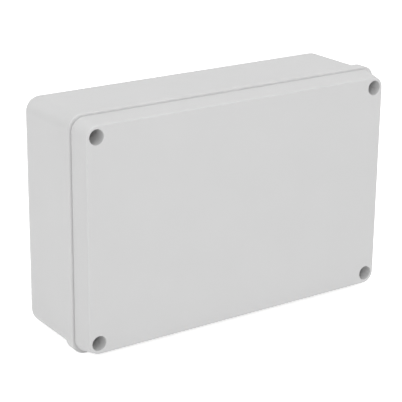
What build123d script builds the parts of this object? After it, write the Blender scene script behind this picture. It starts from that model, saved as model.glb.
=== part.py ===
"""Sealed plastic project box, 222 x 146 x 72 mm, standing on its long side with the lid to the front.

Width runs along X, depth along Y with the lid's face at the lowest Y, and height along Z. The origin is
under the middle of the box. Every depth below is measured backwards from the lid's face, and every inset
inwards from the collar's outline, the largest of the box.
"""
import os
from math import isclose

from build123d import *

# Outline of the closed box
width = 222.0
height = 146.0
depth = 72.0
collar_corner_radius = 9.0

# Lid
lid_depth = 13.2
lid_wall = 3.0
face_inset = 4.0
face_corner_radius = 7.3
foot_inset = 1.5
foot_corner_radius = 8.4
face_edge_radius = 0.9
foot_edge_radius = 0.5
channel_rib_wall = 1.6
channel_rib_reach = 2.5
lid_core_floor = 5.0
lid_core_wall = 2.6

# Base
joint_gap = 0.15
collar_width = 8.0
collar_edge_radius = 0.8
base_step = 1.3
base_wall = 4.0
base_floor = 3.0
base_corner_radius = 9.2
rear_edge_radius = 8.2
rear_draw_in = 0.15
gate_recess_radius = 4.0
gate_recess_depth = 0.4

# Gasket and the tongue that presses it
gasket_width = 2.0
gasket_thickness = 1.8
gasket_side_clearance = 0.1
gasket_edge_chamfer = 0.4
gasket_floor = 9.2
tongue_inset = 3.7
tongue_chamfer = 0.3
shoulder_radius = 6.0
bite_radius = 8.0

# Screw wells in the lid and pillars in the base
screw_inset_x = 10.5
screw_inset_z = 10.7
well_radius = 4.9
well_rim_radius = 0.4
post_wall = 1.5
post_reach = 7.6
post_web = 3.0
web_hole_radius = 2.25
corner_clearance = 0.5
pillar_wall = 2.0
seal_wall = 3.0

# Lid screws, metric M4, with their retaining washers and inserts
thread_pitch = 0.7
thread_turns = 8
thread_radius = 2.0
running_clearance = 0.05
screw_length = 20.0
screw_head_radius = 3.5
screw_head_height = 2.6
screw_head_chamfer = 0.4
screw_tip_chamfer = 0.5
recess_length = 4.2
recess_width = 1.1
recess_depth = 1.7
recess_taper = 10.0
washer_radius = 4.0
washer_thickness = 1.0
washer_clearance = 0.2
washer_pocket_radius = 4.7
insert_radius = 2.8
insert_length = 8.0
insert_groove_width = 1.6
insert_groove_depth = 0.3
insert_tip_room = 3.0

# Wall fixing holes beside the pillars, outside the seal
fixing_hole_radius = 2.4
fixing_head_radius = 4.6
fixing_tube_wall = 1.4
fixing_tube_gap = 1.2
fixing_seat_thickness = 5.0

# Circuit board standoffs and their inserts
board_spacing_x = 150.0
board_spacing_z = 84.0
standoff_radius = 4.0
standoff_height = 8.0
board_insert_radius = 2.1
board_insert_bore = 1.55
board_insert_length = 5.5
board_insert_groove_width = 1.1
board_insert_groove_depth = 0.25
pilot_spacing_x = 90.0
pilot_spacing_z = 50.0
pilot_boss_radius = 3.0
pilot_hole_radius = 1.3
pilot_hole_depth = 6.5

# Card guides on the long walls
guide_count = 5
guide_pitch = 26.0
guide_slot = 1.8
guide_thickness = 1.4
guide_reach = 2.2
guide_front = 30.0

# Places that follow from the sizes above
collar_front = lid_depth + joint_gap
collar_back = collar_front + collar_width
floor_front = depth - base_floor
wall_inset = base_step + base_wall
tongue_thickness = wall_inset - tongue_inset
tongue_front = gasket_floor + gasket_thickness
channel_width = gasket_width + 2 * gasket_side_clearance
channel_outer = (tongue_thickness + channel_width) / 2
channel_inner = channel_outer - channel_width
post_radius = well_radius + post_wall
pillar_radius = washer_pocket_radius + pillar_wall
post_end = lid_depth + post_reach
head_seat = post_end - post_web
screw_tip = head_seat + screw_length
screw_travel = thread_pitch * thread_turns
insert_front = screw_tip - screw_travel
washer_front = post_end + screw_travel + washer_clearance
fixing_tube_radius = fixing_head_radius + fixing_tube_wall
fixing_inset_x = screw_inset_x + post_radius + fixing_tube_gap + fixing_tube_radius
fixing_inset_z = base_step + rear_edge_radius + fixing_hole_radius
bite_x = fixing_inset_x + fixing_tube_radius + corner_clearance + tongue_thickness
bite_z = fixing_inset_z + fixing_tube_radius + corner_clearance + tongue_thickness
standoff_front = floor_front - standoff_height
corner_floor = depth - rear_edge_radius

screw_spacing_x = width - 2 * screw_inset_x
screw_spacing_z = height - 2 * screw_inset_z
fixing_spacing_x = width - 2 * fixing_inset_x
fixing_spacing_z = height - 2 * fixing_inset_z

corners = {
    "top_left": (-1, 1),
    "top_right": (1, 1),
    "bottom_left": (-1, -1),
    "bottom_right": (1, -1),
}


def face_at(distance):
    """Plane behind the lid's face by a distance. It looks forwards, with X right and Z up."""
    return Plane(
        origin=(0, distance - depth / 2, height / 2),
        x_dir=(1, 0, 0),
        z_dir=(0, -1, 0),
    )


def seal_outline(margin):
    """Inside of the sealed room, grown by a margin: a rectangle bitten in round each corner's screws."""
    half_x = width / 2 - wall_inset + margin
    half_z = height / 2 - wall_inset + margin
    size_x = bite_x - wall_inset
    size_z = bite_z - wall_inset
    with BuildSketch() as outline:
        Rectangle(2 * half_x, 2 * half_z)
        with GridLocations(2 * half_x - size_x, 2 * half_z - size_z, 2, 2):
            Rectangle(size_x, size_z, mode=Mode.SUBTRACT)
        bites = outline.vertices().filter_by(
            lambda v: not isclose(abs(v.X), half_x) and not isclose(abs(v.Y), half_z)
        )
        fillet(bites, bite_radius - margin)
        shoulders = outline.vertices().filter_by(
            lambda v: isclose(abs(v.X), half_x) or isclose(abs(v.Y), half_z)
        )
        fillet(shoulders, shoulder_radius + margin)
    return outline.sketch


def seal_ring(outer_margin, inner_margin):
    """Band that follows the seal all the way round, between two margins."""
    with BuildSketch() as ring:
        add(seal_outline(outer_margin))
        add(seal_outline(inner_margin), mode=Mode.SUBTRACT)
    return ring.sketch


def corner_rooms(inset, margin, radius):
    """The four rounded rooms outside the seal, from an inset to a margin off the sealed room."""
    size_x = bite_x - margin - inset
    size_z = bite_z - margin - inset
    with BuildSketch() as rooms:
        with GridLocations(width - 2 * inset - size_x, height - 2 * inset - size_z, 2, 2):
            RectangleRounded(size_x, size_z, radius)
    return rooms.sketch


# Lid: sloping sides, gasket channel, corner posts with deep screw wells
with BuildPart() as lid:
    with BuildSketch(face_at(lid_depth)):
        RectangleRounded(width - 2 * foot_inset, height - 2 * foot_inset, foot_corner_radius)
    with BuildSketch(face_at(0)):
        RectangleRounded(width - 2 * face_inset, height - 2 * face_inset, face_corner_radius)
    loft(ruled=True)
    fillet(lid.edges().group_by(Axis.Y)[0], face_edge_radius)
    fillet(lid.edges().group_by(Axis.Y)[-1], foot_edge_radius)

    with BuildSketch(face_at(lid_depth)):
        add(seal_outline(channel_inner - channel_rib_wall))
    extrude(amount=lid_depth - lid_wall, mode=Mode.SUBTRACT)

    with BuildSketch(face_at(lid_depth)):
        add(seal_ring(channel_outer, channel_inner))
    extrude(amount=lid_depth - gasket_floor, mode=Mode.SUBTRACT)

    with BuildSketch(face_at(lid_depth + channel_rib_reach)):
        add(seal_ring(channel_inner, channel_inner - channel_rib_wall))
    extrude(amount=lid_depth + channel_rib_reach - gasket_floor)

    core_slope_inset = face_inset - (face_inset - foot_inset) * lid_core_floor / lid_depth
    with BuildSketch(face_at(lid_depth)):
        add(
            corner_rooms(
                core_slope_inset + lid_core_wall,
                channel_outer + channel_rib_wall,
                collar_corner_radius - core_slope_inset - lid_core_wall,
            )
        )
    extrude(amount=lid_depth - lid_core_floor, mode=Mode.SUBTRACT)

    with BuildSketch(face_at(post_end)):
        with GridLocations(screw_spacing_x, screw_spacing_z, 2, 2):
            Circle(post_radius)
    extrude(amount=post_end - lid_core_floor)

    with Locations(face_at(0)):
        with GridLocations(screw_spacing_x, screw_spacing_z, 2, 2):
            CounterBoreHole(web_hole_radius, well_radius, head_seat, post_end)
    face_circles = lid.edges().filter_by(GeomType.CIRCLE).group_by(Axis.Y)[0]
    fillet(face_circles.filter_by(lambda e: isclose(e.radius, well_radius)), well_rim_radius)

# Base: straight walls, proud collar, tongue, screw pillars and fixing tubes outside the seal
with BuildPart() as base:
    with BuildSketch(face_at(collar_back)):
        RectangleRounded(width, height, collar_corner_radius)
    extrude(amount=collar_width)
    fillet(base.edges().group_by(Axis.Y)[0], collar_edge_radius)
    fillet(base.edges().group_by(Axis.Y)[-1], collar_edge_radius)

    with BuildSketch(face_at(depth)):
        RectangleRounded(
            width - 2 * (base_step + rear_draw_in),
            height - 2 * (base_step + rear_draw_in),
            base_corner_radius,
        )
    with BuildSketch(face_at(collar_back)):
        RectangleRounded(width - 2 * base_step, height - 2 * base_step, base_corner_radius)
    loft(ruled=True)
    fillet(base.edges().group_by(Axis.Y)[-1], rear_edge_radius)

    with BuildSketch(face_at(floor_front)):
        add(seal_outline(0))
    extrude(amount=floor_front - collar_front, mode=Mode.SUBTRACT)
    room_floor_edges = base.edges().filter_by_position(
        Axis.Y, floor_front - depth / 2, floor_front - depth / 2
    )
    fillet(room_floor_edges, rear_edge_radius - base_floor)

    with BuildSketch(face_at(collar_front)):
        add(seal_ring(tongue_thickness, 0))
    extrude(amount=collar_front - tongue_front)
    chamfer(base.edges().group_by(Axis.Y)[0], tongue_chamfer)

    with BuildSketch(face_at(post_end)):
        add(corner_rooms(tongue_inset, tongue_thickness, collar_corner_radius - tongue_inset))
    extrude(amount=post_end - collar_front, mode=Mode.SUBTRACT)
    with BuildSketch(face_at(corner_floor)):
        add(corner_rooms(wall_inset, seal_wall, collar_corner_radius - wall_inset))
    extrude(amount=corner_floor - post_end, mode=Mode.SUBTRACT)

    with BuildSketch(face_at(corner_floor)):
        with GridLocations(screw_spacing_x, screw_spacing_z, 2, 2):
            Circle(pillar_radius)
        with GridLocations(fixing_spacing_x, fixing_spacing_z, 2, 2):
            Circle(fixing_tube_radius)
    extrude(amount=corner_floor - post_end)

    with Locations(face_at(post_end)):
        with GridLocations(screw_spacing_x, screw_spacing_z, 2, 2):
            CounterBoreHole(
                insert_radius,
                washer_pocket_radius,
                insert_front - post_end,
                insert_front + insert_length + insert_tip_room - post_end,
            )
        with GridLocations(fixing_spacing_x, fixing_spacing_z, 2, 2):
            CounterBoreHole(
                fixing_hole_radius,
                fixing_head_radius,
                depth - fixing_seat_thickness - post_end,
                depth - post_end,
            )

    with BuildSketch(face_at(floor_front)):
        with GridLocations(board_spacing_x, board_spacing_z, 2, 2):
            Circle(standoff_radius)
        with GridLocations(pilot_spacing_x, pilot_spacing_z, 2, 2):
            Circle(pilot_boss_radius)
    extrude(amount=standoff_height)
    with Locations(face_at(standoff_front)):
        with GridLocations(board_spacing_x, board_spacing_z, 2, 2):
            Hole(board_insert_radius, board_insert_length)
        with GridLocations(pilot_spacing_x, pilot_spacing_z, 2, 2):
            Hole(pilot_hole_radius, pilot_hole_depth)

    guide_pair_width = guide_slot + 2 * guide_thickness
    with BuildSketch(face_at(floor_front)):
        with GridLocations(guide_pitch, height - 2 * wall_inset - guide_reach, guide_count, 2):
            Rectangle(guide_pair_width, guide_reach)
            Rectangle(guide_slot, guide_reach, mode=Mode.SUBTRACT)
    extrude(amount=floor_front - guide_front)

    with BuildSketch(face_at(depth)):
        Circle(gate_recess_radius)
    extrude(amount=gate_recess_depth, mode=Mode.SUBTRACT)

# Gasket: one closed rubber loop that fills the lid's channel
with BuildPart() as gasket:
    with BuildSketch(face_at(tongue_front)):
        add(seal_ring(channel_outer - gasket_side_clearance, channel_inner + gasket_side_clearance))
    extrude(amount=gasket_thickness)
    chamfer(gasket.edges().group_by(Axis.Y)[-1], gasket_edge_chamfer)

os.makedirs("parts", exist_ok=True)
for label, piece in (("lid", lid), ("base", base), ("gasket", gasket)):
    piece.part.label = label
    export_step(piece.part, f"parts/{label}.step")

# Fasteners, one set for each corner
for corner, (side_x, side_z) in corners.items():
    screw_place = (side_x * screw_spacing_x / 2, side_z * screw_spacing_z / 2)
    board_place = (side_x * board_spacing_x / 2, side_z * board_spacing_z / 2)

    # Lid screw: cheese head with a cross recess
    with BuildPart() as lid_screw:
        with BuildSketch(face_at(head_seat)):
            with Locations(screw_place):
                Circle(screw_head_radius)
        extrude(amount=screw_head_height)
        chamfer(lid_screw.edges().group_by(Axis.Y)[0], screw_head_chamfer)
        with BuildSketch(face_at(screw_tip)):
            with Locations(screw_place):
                Circle(thread_radius)
        extrude(amount=screw_length)
        chamfer(lid_screw.edges().group_by(Axis.Y)[-1], screw_tip_chamfer)
        with BuildSketch(face_at(head_seat - screw_head_height)):
            with Locations(screw_place):
                Rectangle(recess_length, recess_width)
                Rectangle(recess_width, recess_length)
        extrude(amount=-recess_depth, taper=recess_taper, mode=Mode.SUBTRACT)

    # Nylon washer that keeps the undone screw in the lid
    with BuildPart() as retaining_washer:
        with BuildSketch(face_at(washer_front + washer_thickness)):
            with Locations(screw_place):
                Circle(washer_radius)
                Circle(thread_radius + running_clearance, mode=Mode.SUBTRACT)
        extrude(amount=washer_thickness)

    # Brass insert at the foot of the pillar's pocket
    with BuildPart() as screw_insert:
        with BuildSketch(face_at(insert_front + insert_length)):
            with Locations(screw_place):
                Circle(insert_radius)
                Circle(thread_radius + running_clearance, mode=Mode.SUBTRACT)
        extrude(amount=insert_length)
        with BuildSketch(face_at(insert_front + (insert_length + insert_groove_width) / 2)):
            with Locations(screw_place):
                Circle(insert_radius)
                Circle(insert_radius - insert_groove_depth, mode=Mode.SUBTRACT)
        extrude(amount=insert_groove_width, mode=Mode.SUBTRACT)

    # Brass insert in the circuit board standoff
    with BuildPart() as board_insert:
        with BuildSketch(face_at(standoff_front + board_insert_length)):
            with Locations(board_place):
                Circle(board_insert_radius)
                Circle(board_insert_bore, mode=Mode.SUBTRACT)
        extrude(amount=board_insert_length)
        groove_back = standoff_front + (board_insert_length + board_insert_groove_width) / 2
        with BuildSketch(face_at(groove_back)):
            with Locations(board_place):
                Circle(board_insert_radius)
                Circle(board_insert_radius - board_insert_groove_depth, mode=Mode.SUBTRACT)
        extrude(amount=board_insert_groove_width, mode=Mode.SUBTRACT)

    for label, piece in (
        ("lid_screw", lid_screw),
        ("retaining_washer", retaining_washer),
        ("screw_insert", screw_insert),
        ("board_insert", board_insert),
    ):
        piece.part.label = f"{label}_{corner}"
        export_step(piece.part, f"parts/{label}_{corner}.step")
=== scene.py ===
import math

import bmesh
import bpy
from mathutils import Matrix, Vector


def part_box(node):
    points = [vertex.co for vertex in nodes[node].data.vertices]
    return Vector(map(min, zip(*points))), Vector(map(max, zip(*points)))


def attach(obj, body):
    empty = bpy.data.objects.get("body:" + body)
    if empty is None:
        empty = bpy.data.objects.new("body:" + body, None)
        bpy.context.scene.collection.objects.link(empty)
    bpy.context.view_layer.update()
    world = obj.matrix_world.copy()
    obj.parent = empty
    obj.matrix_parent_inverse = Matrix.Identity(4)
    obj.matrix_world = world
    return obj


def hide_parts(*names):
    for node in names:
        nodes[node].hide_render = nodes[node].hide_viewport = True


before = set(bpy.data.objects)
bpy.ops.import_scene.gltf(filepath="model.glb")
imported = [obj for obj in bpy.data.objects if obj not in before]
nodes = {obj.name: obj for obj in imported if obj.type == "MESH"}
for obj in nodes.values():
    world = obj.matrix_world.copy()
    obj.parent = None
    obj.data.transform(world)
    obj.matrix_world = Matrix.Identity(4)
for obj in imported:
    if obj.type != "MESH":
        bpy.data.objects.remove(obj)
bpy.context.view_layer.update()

# Base and lid: two injection mouldings in light grey ABS, which meet at the proud collar. The mould is
# finely spark eroded, so the skin is a soft satin, and its grain shows only close up. The lid is held
# by four screws at the bottom of its corner wells.
MM = 0.001


def linear(hex_code):
    """An sRGB hex colour as the linear colour that a shader takes."""
    channels = [int(hex_code[place : place + 2], 16) / 255 for place in (1, 3, 5)]
    return tuple(c / 12.92 if c <= 0.04045 else ((c + 0.055) / 1.055) ** 2.4 for c in channels) + (1.0,)


def add_node(tree, kind, inputs, **settings):
    """Adds a node, gives it its settings, and fills or links its inputs."""
    node = tree.nodes.new(kind)
    for name, value in settings.items():
        setattr(node, name, value)
    for name, value in inputs.items():
        if isinstance(value, bpy.types.NodeSocket):
            tree.links.new(value, node.inputs[name])
        else:
            node.inputs[name].default_value = value
    return node


def blank_material(name):
    """A new material and its empty node tree."""
    material = bpy.data.materials.new(name)
    material.use_nodes = True
    material.node_tree.nodes.clear()
    return material, material.node_tree


def moulded_skin(name, colours, patch, gloss, grain, depth, ior):
    """A moulded skin, in mm. Its colour drifts over patches and its roughness over thirds of them,
    under a grain of fine bumps."""
    material, tree = blank_material(name)
    place = add_node(tree, "ShaderNodeTexCoord", {}).outputs["Object"]
    cloud = add_node(tree, "ShaderNodeTexNoise", {"Vector": place, "Scale": 1 / (patch * MM), "Detail": 2.0})
    tint = add_node(
        tree,
        "ShaderNodeMix",
        {"Factor": cloud.outputs["Fac"], "A": linear(colours[0]), "B": linear(colours[1])},
        data_type="RGBA",
    )
    wiped = add_node(tree, "ShaderNodeTexNoise", {"Vector": place, "Scale": 3 / (patch * MM), "Detail": 2.0})
    sheen = add_node(
        tree,
        "ShaderNodeMapRange",
        {"Value": wiped.outputs["Fac"], "To Min": gloss[0], "To Max": gloss[1]},
    )
    pits = add_node(tree, "ShaderNodeTexNoise", {"Vector": place, "Scale": 1 / (grain * MM), "Detail": 3.0})
    bumps = add_node(
        tree,
        "ShaderNodeBump",
        {"Height": pits.outputs["Fac"], "Strength": 0.35, "Distance": depth * MM},
    )
    skin = add_node(
        tree,
        "ShaderNodeBsdfPrincipled",
        {
            "Base Color": tint.outputs["Result"],
            "Roughness": sheen.outputs["Result"],
            "Normal": bumps.outputs["Normal"],
            "IOR": ior,
        },
    )
    add_node(tree, "ShaderNodeOutputMaterial", {"Surface": skin.outputs["BSDF"]})
    return material


# ABS, moulded against a spark eroded tool: opaque and pale, with a broad soft highlight on every edge.
# The real grain is about 0.1 mm wide and is drawn at 0.45 mm, so that it shows close up.
grey_abs = moulded_skin(
    "moulded_light_grey_abs",
    colours=("#d0d0d0", "#d4d4d4"),
    patch=35,
    gloss=(0.36, 0.44),
    grain=0.45,
    depth=0.01,
    ior=1.54,
)


def dress(name, material):
    """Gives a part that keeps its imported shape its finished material."""
    mesh = nodes[name].data
    mesh.materials.clear()
    mesh.materials.append(material)


for name in ("base", "lid"):
    dress(name, grey_abs)

# Gasket: one closed loop of black nitrile rubber, moulded, and pushed into the lid's channel by hand.
# The base's tongue presses on it all round when the screws are tight.

# Nitrile rubber, moulded: black and matt, with a faint bloom in patches. Its skin is finer than the
# 0.3 mm that it is drawn at, so that it shows.
black_rubber = moulded_skin(
    "moulded_black_nitrile",
    colours=("#191919", "#222120"),
    patch=6,
    gloss=(0.62, 0.78),
    grain=0.3,
    depth=0.03,
    ior=1.52,
)
dress("gasket", black_rubber)

# Screw inserts: four brass bushes with an M4 thread, pressed hot into the base's corner pillars. They
# are turned from bar. Straight knurling and a groove keep them from turning or pulling out.
CORNERS = ("top_left", "top_right", "bottom_left", "bottom_right")
SCREW_PITCH = 0.7
THREAD_START = 0.75


def turned_metal(name, colours, gloss, feed):
    """Bare metal off the lathe, with rings a feed in mm apart that follow each piece's own axis."""
    # How wide the stains of handling are, and how deep the tool's rings, in mm.
    stain, ring_depth = 1.4, 0.01
    material, tree = blank_material(name)
    place = add_node(tree, "ShaderNodeTexCoord", {}).outputs["Object"]
    cloud = add_node(tree, "ShaderNodeTexNoise", {"Vector": place, "Scale": 1 / (stain * MM), "Detail": 2.0})
    tint = add_node(
        tree,
        "ShaderNodeMix",
        {"Factor": cloud.outputs["Fac"], "A": linear(colours[0]), "B": linear(colours[1])},
        data_type="RGBA",
    )
    sheen = add_node(
        tree,
        "ShaderNodeMapRange",
        {"Value": cloud.outputs["Fac"], "To Min": gloss[0], "To Max": gloss[1]},
    )
    reach = add_node(tree, "ShaderNodeAttribute", {}, attribute_name="cut_mm").outputs["Fac"]
    angle = add_node(tree, "ShaderNodeMath", {0: reach, 1: math.tau / feed}, operation="MULTIPLY")
    rings = add_node(tree, "ShaderNodeMath", {0: angle.outputs[0]}, operation="SINE")
    bumps = add_node(
        tree,
        "ShaderNodeBump",
        {"Height": rings.outputs[0], "Strength": 0.3, "Distance": ring_depth * MM},
    )
    metal = add_node(
        tree,
        "ShaderNodeBsdfPrincipled",
        {
            "Base Color": tint.outputs["Result"],
            "Roughness": sheen.outputs["Result"],
            "Normal": bumps.outputs["Normal"],
            "Metallic": 1.0,
        },
    )
    add_node(tree, "ShaderNodeOutputMaterial", {"Surface": metal.outputs["BSDF"]})
    return material


# Brass, turned from bar: warm yellow with a bright even sheen. Real tool marks are 0.05 mm apart and
# are drawn at 0.2 mm, so that they show.
brass = turned_metal("turned_brass", ("#b99a56", "#cdb06c"), gloss=(0.22, 0.34), feed=0.2)


def turn(bm, outline, closed=False, steps=48):
    """Turns a piece about its own axis from an outline of (radius, height) points in mm."""
    points = [bm.verts.new((radius * MM, 0, height * MM)) for radius, height in outline]
    pairs = list(zip(points, points[1:]))
    if closed:
        pairs.append((points[-1], points[0]))
    edges = [bm.edges.new(pair) for pair in pairs]
    bmesh.ops.spin(
        bm,
        geom=points + edges,
        cent=(0, 0, 0),
        axis=(0, 0, 1),
        angle=math.tau,
        steps=steps,
        use_merge=True,
    )
    bmesh.ops.remove_doubles(bm, verts=bm.verts, dist=0.001 * MM)


def wind_thread(bm, root, crest, pitch, start, turns, steps=24):
    """Winds a right-hand thread ridge up from a height in mm. It runs out into the wall at both ends."""
    # Half widths of the ridge in pitches, the turns that it takes to run out, and its least height.
    foot, land, run_out, thinnest = 0.43, 0.07, 0.5, 0.05
    before = set(bm.verts)
    ridge = [
        bm.verts.new((radius * MM, 0, (start + share * pitch) * MM))
        for radius, share in ((root, -foot), (crest, -land), (crest, land), (root, foot))
    ]
    face = bm.faces.new(ridge)
    bmesh.ops.spin(
        bm,
        geom=[face] + list(face.edges) + list(face.verts),
        cent=(0, 0, 0),
        axis=(0, 0, 1),
        dvec=(0, 0, pitch * MM / steps),
        angle=math.tau * turns,
        steps=round(steps * turns),
    )
    for vert in (vert for vert in bm.verts if vert not in before):
        if abs(vert.co.xy.length - crest * MM) < 0.01 * MM:
            wound = (vert.co.z / MM - start) / pitch
            share = max(thinnest, min(1.0, wound / run_out, (turns - wound) / run_out))
            vert.co.xy *= (root + (crest - root) * share) / crest


def finished(name, bm, place, material, slot, body, *stands_for):
    """Stands a piece made about its own axis in its place, with its axis towards the lid's face."""
    # The lathe's rings follow the way outwards and along, which each point carries in mm.
    reach = bm.verts.layers.float.new("cut_mm")
    for vert in bm.verts:
        vert[reach] = (vert.co.xy.length + vert.co.z) / MM
    upright = Matrix.Translation(place) @ Matrix.Rotation(math.radians(90), 4, "X")
    bmesh.ops.transform(bm, matrix=upright, verts=bm.verts)
    bmesh.ops.recalc_face_normals(bm, faces=bm.faces)
    mesh = bpy.data.meshes.new(name)
    bm.to_mesh(mesh)
    bm.free()
    mesh.shade_smooth()
    mesh.set_sharp_from_angle(angle=math.radians(32))
    mesh.materials.append(material)
    piece = bpy.data.objects.new(name, mesh)
    bpy.context.scene.collection.objects.link(piece)
    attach(piece, body)
    if stands_for:
        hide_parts(*stands_for)


def knurled_bush(name, node, radius, bore, groove, thread, teeth=24, cut=0.12):
    """A knurled bush in the base in place of a packed one, with its mouth towards the lid's face. Its
    groove is (width, depth), and its thread (root, crest, pitch, start, turns)."""
    lo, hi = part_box(node)
    length = (hi.y - lo.y) / MM
    chamfer, lead_in = 0.25, 0.3
    groove_width, groove_depth = groove
    groove_low, groove_high = (length - groove_width) / 2, (length + groove_width) / 2
    outline = [
        (bore + lead_in, 0),
        (radius - chamfer, 0),
        (radius, chamfer),
        (radius, groove_low),
        (radius - groove_depth, groove_low),
        (radius - groove_depth, groove_high),
        (radius, groove_high),
        (radius, length - chamfer),
        (radius - chamfer, length),
        (bore + lead_in, length),
        (bore, length - lead_in),
        (bore, lead_in),
    ]
    bm = bmesh.new()
    turn(bm, outline, closed=True, steps=2 * teeth)
    for vert in bm.verts:
        column = round(math.atan2(vert.co.y, vert.co.x) / math.tau * 2 * teeth)
        if column % 2 and vert.co.xy.length > (radius - chamfer / 2) * MM:
            vert.co.xy *= 1 - cut / radius
    wind_thread(bm, *thread)
    place = ((lo.x + hi.x) / 2, hi.y, (lo.z + hi.z) / 2)
    finished(name, bm, place, brass, "brass", "base", node)


for corner in CORNERS:
    # The thread is wound so that its grooves meet the screw's ridges.
    lo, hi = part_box(f"screw_insert_{corner}")
    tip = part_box(f"lid_screw_{corner}")[1]
    ridge_height = (hi.y - tip.y) / MM + THREAD_START
    start = (ridge_height + SCREW_PITCH / 2) % SCREW_PITCH + SCREW_PITCH
    knurled_bush(
        f"threaded_bush_{corner}",
        f"screw_insert_{corner}",
        radius=2.8,
        bore=2.05,
        groove=(1.6, 0.3),
        thread=(2.1, 1.66, SCREW_PITCH, start, 8.5),
    )

# Board inserts: four smaller brass bushes with an M3 thread in the base's standoffs, for a circuit
# board. They are turned and knurled in the same way.
for corner in CORNERS:
    knurled_bush(
        f"board_bush_{corner}",
        f"board_insert_{corner}",
        radius=2.1,
        bore=1.55,
        groove=(1.1, 0.25),
        thread=(1.6, 1.28, 0.5, 0.5, 9),
        teeth=20,
        cut=0.1,
    )

# Lid screws: four M4 x 20 cheese head machine screws in stainless steel, with a cross recess. The
# heads are cold formed and turned, the threads rolled. They sit on the webs 15 mm down the wells.
SCREW_LENGTH = 20
THREAD_ROOT = 1.5
THREAD_CREST = 1.98
THREAD_TURNS = 26
SHANK_RADIUS = 1.58
TIP_RADIUS = 1.3
TIP_TAPER = 0.4
NECK_FLARE = 0.2
HEAD_RADIUS = 3.5
HEAD_HEIGHT = 2.6
HEAD_CHAMFER = 0.15
HEAD_ROUND = 0.4
RECESS_RADIUS = 2.45
RECESS_ARM = 2.1
RECESS_HALF_WIDTH = 0.55
RECESS_DEPTH = 1.7
RECESS_TAPER = 0.8
# Points that are this near the top edge of the head are its rim.
NEAR = 0.1

# Stainless steel, turned: neutral and bright, with fine rings on the head. They are 0.05 mm apart on
# the real screw and are drawn at 0.22 mm, so that they show.
steel = turned_metal("turned_stainless_steel", ("#b9b7b2", "#c9c7c3"), gloss=(0.24, 0.36), feed=0.22)


def cross_reach(angle, arm, half_width):
    """How far a cross with arms of that reach and half width goes out at an angle."""
    across, along = max(abs(math.cos(angle)), 1e-6), max(abs(math.sin(angle)), 1e-6)
    return max(min(arm / across, half_width / along), min(arm / along, half_width / across))


for corner in CORNERS:
    bm = bmesh.new()
    turn(
        bm,
        [
            (0, -SCREW_LENGTH),
            (TIP_RADIUS, -SCREW_LENGTH),
            (SHANK_RADIUS, TIP_TAPER - SCREW_LENGTH),
            (SHANK_RADIUS, -NECK_FLARE),
            (SHANK_RADIUS + NECK_FLARE, 0),
            (HEAD_RADIUS - HEAD_CHAMFER, 0),
            (HEAD_RADIUS, HEAD_CHAMFER),
            (HEAD_RADIUS, HEAD_HEIGHT),
            (RECESS_RADIUS, HEAD_HEIGHT),
        ],
    )
    rim = [
        edge
        for edge in bm.edges
        if all(
            vert.co.z > (HEAD_HEIGHT - NEAR) * MM and vert.co.xy.length > (HEAD_RADIUS - NEAR) * MM
            for vert in edge.verts
        )
    ]
    bmesh.ops.bevel(
        bm,
        geom=rim,
        offset=HEAD_ROUND * MM,
        offset_type="OFFSET",
        segments=3,
        profile=0.5,
        affect="EDGES",
        material=-1,
    )
    # The cross recess: the open lip is drawn in to a cross, and then down into the head.
    lip = [edge for edge in bm.edges if edge.is_boundary]
    mouth = bmesh.ops.extrude_edge_only(bm, edges=lip)["geom"]
    for vert in (part for part in mouth if isinstance(part, bmesh.types.BMVert)):
        angle = math.atan2(vert.co.y, vert.co.x)
        reach = cross_reach(angle, RECESS_ARM, RECESS_HALF_WIDTH)
        vert.co.xy = Vector((math.cos(angle), math.sin(angle))) * reach * MM
    lip = [edge for edge in bm.edges if edge.is_boundary]
    sunk = bmesh.ops.extrude_edge_only(bm, edges=lip)["geom"]
    for vert in (part for part in sunk if isinstance(part, bmesh.types.BMVert)):
        vert.co.xy *= RECESS_TAPER
        vert.co.z -= RECESS_DEPTH * MM
    bmesh.ops.holes_fill(bm, edges=[edge for edge in bm.edges if edge.is_boundary], sides=0)
    wind_thread(bm, THREAD_ROOT, THREAD_CREST, SCREW_PITCH, THREAD_START - SCREW_LENGTH, THREAD_TURNS)
    node = f"lid_screw_{corner}"
    lo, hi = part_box(node)
    seat = ((lo.x + hi.x) / 2, hi.y - SCREW_LENGTH * MM, (lo.z + hi.z) / 2)
    finished(f"cross_head_screw_{corner}", bm, seat, steel, "stainless_steel", f"screw_{corner}", node)

# Screw wells: the round wells that hold the screws, part of the lid's moulding. They narrow towards the
# screw by the draft that lets the mould's pins out, and a lining of the lid's own plastic gives them
# that shape and their small rounded rim, flush with the face.
WELL_RADIUS = 4.6
WELL_SEAT_RADIUS = 4.2
WELL_RIM = 0.3
WELL_DEPTH = 17.8
SEAT_LAP = 0.1
# The outside is buried in the lid. Only its lip comes up to the face, a hair below it.
BURIED_RADIUS = 5.1
BURIED_DEPTH = 1.0
LIP_RADIUS = 5.38
LIP_DEPTH = 0.6
FLUSH = 0.005
rim_arc = [
    (
        WELL_RADIUS + WELL_RIM * (1 - math.sin(math.radians(angle))),
        -FLUSH - WELL_RIM * (1 - math.cos(math.radians(angle))),
    )
    for angle in (0, 22.5, 45, 67.5, 90)
]
lid_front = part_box("lid")[0].y
for corner in CORNERS:
    bm = bmesh.new()
    turn(
        bm,
        [
            (LIP_RADIUS, -FLUSH),
            *rim_arc,
            (WELL_SEAT_RADIUS, -WELL_DEPTH),
            (WELL_SEAT_RADIUS, -WELL_DEPTH - SEAT_LAP),
            (BURIED_RADIUS, -WELL_DEPTH - SEAT_LAP),
            (BURIED_RADIUS, -BURIED_DEPTH),
            (LIP_RADIUS, -LIP_DEPTH),
        ],
        closed=True,
        steps=64,
    )
    lo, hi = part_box(f"lid_screw_{corner}")
    mouth = ((lo.x + hi.x) / 2, lid_front, (lo.z + hi.z) / 2)
    finished(f"well_lining_{corner}", bm, mouth, grey_abs, "grey_abs", "lid")

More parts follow.
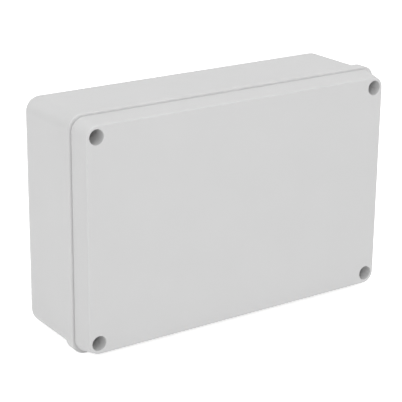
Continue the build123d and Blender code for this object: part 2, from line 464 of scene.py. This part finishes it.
# Retaining washers: four nylon washers, moulded, and screwed on to the shanks behind the webs. They
# keep the screws with the lid when it comes off.
WASHER_BORE = 2.05
WASHER_EDGE = 0.15
WASHER_CUT = 0.04

# Nylon, natural and moulded: milky white, with a waxy sheen. Its skin is finer than the 0.25 mm that
# it is drawn at, so that it shows.
nylon = moulded_skin(
    "moulded_natural_nylon",
    colours=("#dedacb", "#e6e2d6"),
    patch=3,
    gloss=(0.34, 0.42),
    grain=0.25,
    depth=0.01,
    ior=1.53,
)
for corner in CORNERS:
    node = f"retaining_washer_{corner}"
    lo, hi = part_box(node)
    radius, thick = (hi.x - lo.x) / 2 / MM, (hi.y - lo.y) / MM
    outline = [
        (WASHER_BORE, 0),
        (radius - WASHER_EDGE, 0),
        (radius - WASHER_CUT, WASHER_CUT),
        (radius, WASHER_EDGE),
        (radius, thick - WASHER_EDGE),
        (radius - WASHER_CUT, thick - WASHER_CUT),
        (radius - WASHER_EDGE, thick),
        (WASHER_BORE, thick),
    ]
    bm = bmesh.new()
    turn(bm, outline, closed=True)
    place = ((lo.x + hi.x) / 2, hi.y, (lo.z + hi.z) / 2)
    finished(f"nylon_washer_{corner}", bm, place, nylon, "nylon", f"retainer_{corner}", node)

# Ejector marks: round witness marks, where pins pushed the two hot mouldings out of the mould. They
# stand a tenth of a millimetre proud, inside only, and are part of the same plastic.
PIN_RADIUS = 3.0
PIN_PROUD = 0.1
PIN_EDGE = 0.05
PIN_ROOT = 1.0
WALL = 3.0
base_lo, base_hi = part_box("base")
middle_height = (base_lo.z + base_hi.z) / 2
for body, x_places, z_reach, face, outwards in (
    ("base", (-60, -20, 20, 60), 34, base_hi.y - WALL * MM, 1),
    ("lid", (-75, -25, 25, 75), 40, lid_front + WALL * MM, -1),
):
    for column, x in enumerate(x_places):
        for row, z in (("low", -z_reach), ("high", z_reach)):
            bm = bmesh.new()
            turn(
                bm,
                [
                    (0, -PIN_ROOT * outwards),
                    (PIN_RADIUS, -PIN_ROOT * outwards),
                    (PIN_RADIUS, (PIN_PROUD - PIN_EDGE) * outwards),
                    (PIN_RADIUS - PIN_EDGE, PIN_PROUD * outwards),
                    (0, PIN_PROUD * outwards),
                ],
                steps=32,
            )
            place = (x * MM, face, middle_height + z * MM)
            finished(f"{body}_pin_mark_{row}_{column}", bm, place, grey_abs, "grey_abs", body)

# Gate: the stub that is left where the plastic ran into the base's mould, snapped off inside its round
# recess in the middle of the back.
GATE_DEPTH = 0.4
GATE_ROOT = [(0, GATE_DEPTH), (1.3, GATE_DEPTH)]
GATE_BREAK = [(1.2, -0.12), (0.9, -0.2), (0.4, -0.26), (0, -0.2)]
bm = bmesh.new()
turn(bm, GATE_ROOT + GATE_BREAK, steps=24)
place = (0, base_hi.y - GATE_DEPTH * MM, middle_height)
finished("gate_stub", bm, place, grey_abs, "grey_abs", "base")

# Floor: plain white studio paper under and round the box. It isn't part of the object, and it keeps
# the object's shadow.
FLOOR_REACH = 8.0
FLOOR_GLOW = 0.68


def rays_that_see_white(tree):
    """1 for the rays that see the studio white: the camera's, and those off gloss or through glass."""
    rays = add_node(tree, "ShaderNodeLightPath", {})
    seen = add_node(
        tree,
        "ShaderNodeMath",
        {0: rays.outputs["Is Camera Ray"], 1: rays.outputs["Is Glossy Ray"]},
        operation="MAXIMUM",
    )
    seen_through = add_node(
        tree,
        "ShaderNodeMath",
        {0: seen.outputs[0], 1: rays.outputs["Is Transmission Ray"]},
        operation="MAXIMUM",
    )
    return seen_through.outputs[0]


# Paper, uncoated: white and quite matt. A glow lifts it to white, for those rays alone.
white, tree = blank_material("uncoated_white_paper")
paint = add_node(tree, "ShaderNodeBsdfDiffuse", {"Color": linear("#f1f1f1")})
lift = add_node(
    tree,
    "ShaderNodeMath",
    {0: rays_that_see_white(tree), 1: FLOOR_GLOW},
    operation="MULTIPLY",
)
glow = add_node(tree, "ShaderNodeEmission", {"Color": linear("#ffffff"), "Strength": lift.outputs[0]})
both = add_node(tree, "ShaderNodeAddShader", {0: paint.outputs[0], 1: glow.outputs[0]})
add_node(tree, "ShaderNodeOutputMaterial", {"Surface": both.outputs[0]})
bm = bmesh.new()
bmesh.ops.create_grid(bm, x_segments=1, y_segments=1, size=FLOOR_REACH)
floor_mesh = bpy.data.meshes.new("studio_floor")
bm.to_mesh(floor_mesh)
bm.free()
floor_mesh.materials.append(white)
floor = bpy.data.objects.new("studio_floor", floor_mesh)
bpy.context.scene.collection.objects.link(floor)

# Light: an even white tent all round, with large soft lamps on the left, in front and overhead, and
# two weak ones behind and on the right.
TENT_LIGHT = 0.4
TENT_WHITE = 1.0
world = bpy.data.worlds.new("white_tent")
bpy.context.scene.world = world
world.use_nodes = True
tree = world.node_tree
tree.nodes.clear()
ambient = add_node(tree, "ShaderNodeBackground", {"Color": linear("#ffffff"), "Strength": TENT_LIGHT})
backdrop = add_node(tree, "ShaderNodeBackground", {"Color": linear("#ffffff"), "Strength": TENT_WHITE})
mixed = add_node(
    tree,
    "ShaderNodeMixShader",
    {0: rays_that_see_white(tree), 1: ambient.outputs[0], 2: backdrop.outputs[0]},
)
add_node(tree, "ShaderNodeOutputWorld", {"Surface": mixed.outputs[0]})


def softbox(name, place, size, power):
    """A square area lamp, aimed at the middle of the box."""
    light = bpy.data.lights.new(name, "AREA")
    light.shape = "SQUARE"
    light.size = size
    light.energy = power
    lamp = bpy.data.objects.new(name, light)
    bpy.context.scene.collection.objects.link(lamp)
    lamp.location = place
    aim = Vector((0, 0, 0.07)) - Vector(place)
    lamp.rotation_euler = aim.to_track_quat("-Z", "Y").to_euler()


softbox("softbox_front_left", (-1.1, -1.3, 1.0), 1.0, 7.4)
softbox("softbox_left", (-1.9, -0.2, 0.7), 2.0, 9.3)
softbox("softbox_front_high", (0.1, -1.4, 1.5), 0.8, 2.7)
softbox("softbox_front_right", (1.0, -1.7, 0.5), 1.0, 5.4)
softbox("softbox_overhead", (0.2, -0.1, 2.0), 1.6, 12.8)
softbox("softbox_back_left", (-0.9, 1.7, 0.9), 1.4, 1.7)
softbox("softbox_right", (2.0, 0.4, 0.9), 1.6, 1.6)

# Camera: a long lens from the front left and above, fitted to the photo's outline, joint, collar and
# wells. Lengths are metres, and the two shifts place the eye across its own line of sight.
FACE_CENTRE = Vector((0.0, -0.036, 0.073))
YAW, PITCH, ROLL = (math.radians(angle) for angle in (34.617, 19.183, 0.644))
DISTANCE, EYE_RIGHT, EYE_UP = 0.8743, -0.02479, 0.006014
FOCAL_PIXELS, IMAGE_PIXELS, SENSOR_MM = 1451.54, 402, 36.0
back = Vector((-math.sin(YAW) * math.cos(PITCH), -math.cos(YAW) * math.cos(PITCH), math.sin(PITCH)))
level_right = (-back).cross(Vector((0, 0, 1))).normalized()
level_up = level_right.cross(-back)
right = math.cos(ROLL) * level_right + math.sin(ROLL) * level_up
up = -math.sin(ROLL) * level_right + math.cos(ROLL) * level_up
lens = bpy.data.cameras.new("photo_camera")
lens.sensor_width = SENSOR_MM
lens.lens = FOCAL_PIXELS / IMAGE_PIXELS * SENSOR_MM
camera = bpy.data.objects.new("photo_camera", lens)
bpy.context.scene.collection.objects.link(camera)
eye = FACE_CENTRE + back * DISTANCE + EYE_RIGHT * right + EYE_UP * up
camera.matrix_world = Matrix.Translation(eye) @ Matrix((right, up, back)).transposed().to_4x4()
bpy.context.scene.camera = camera
bpy.context.scene.view_settings.view_transform = "Standard"
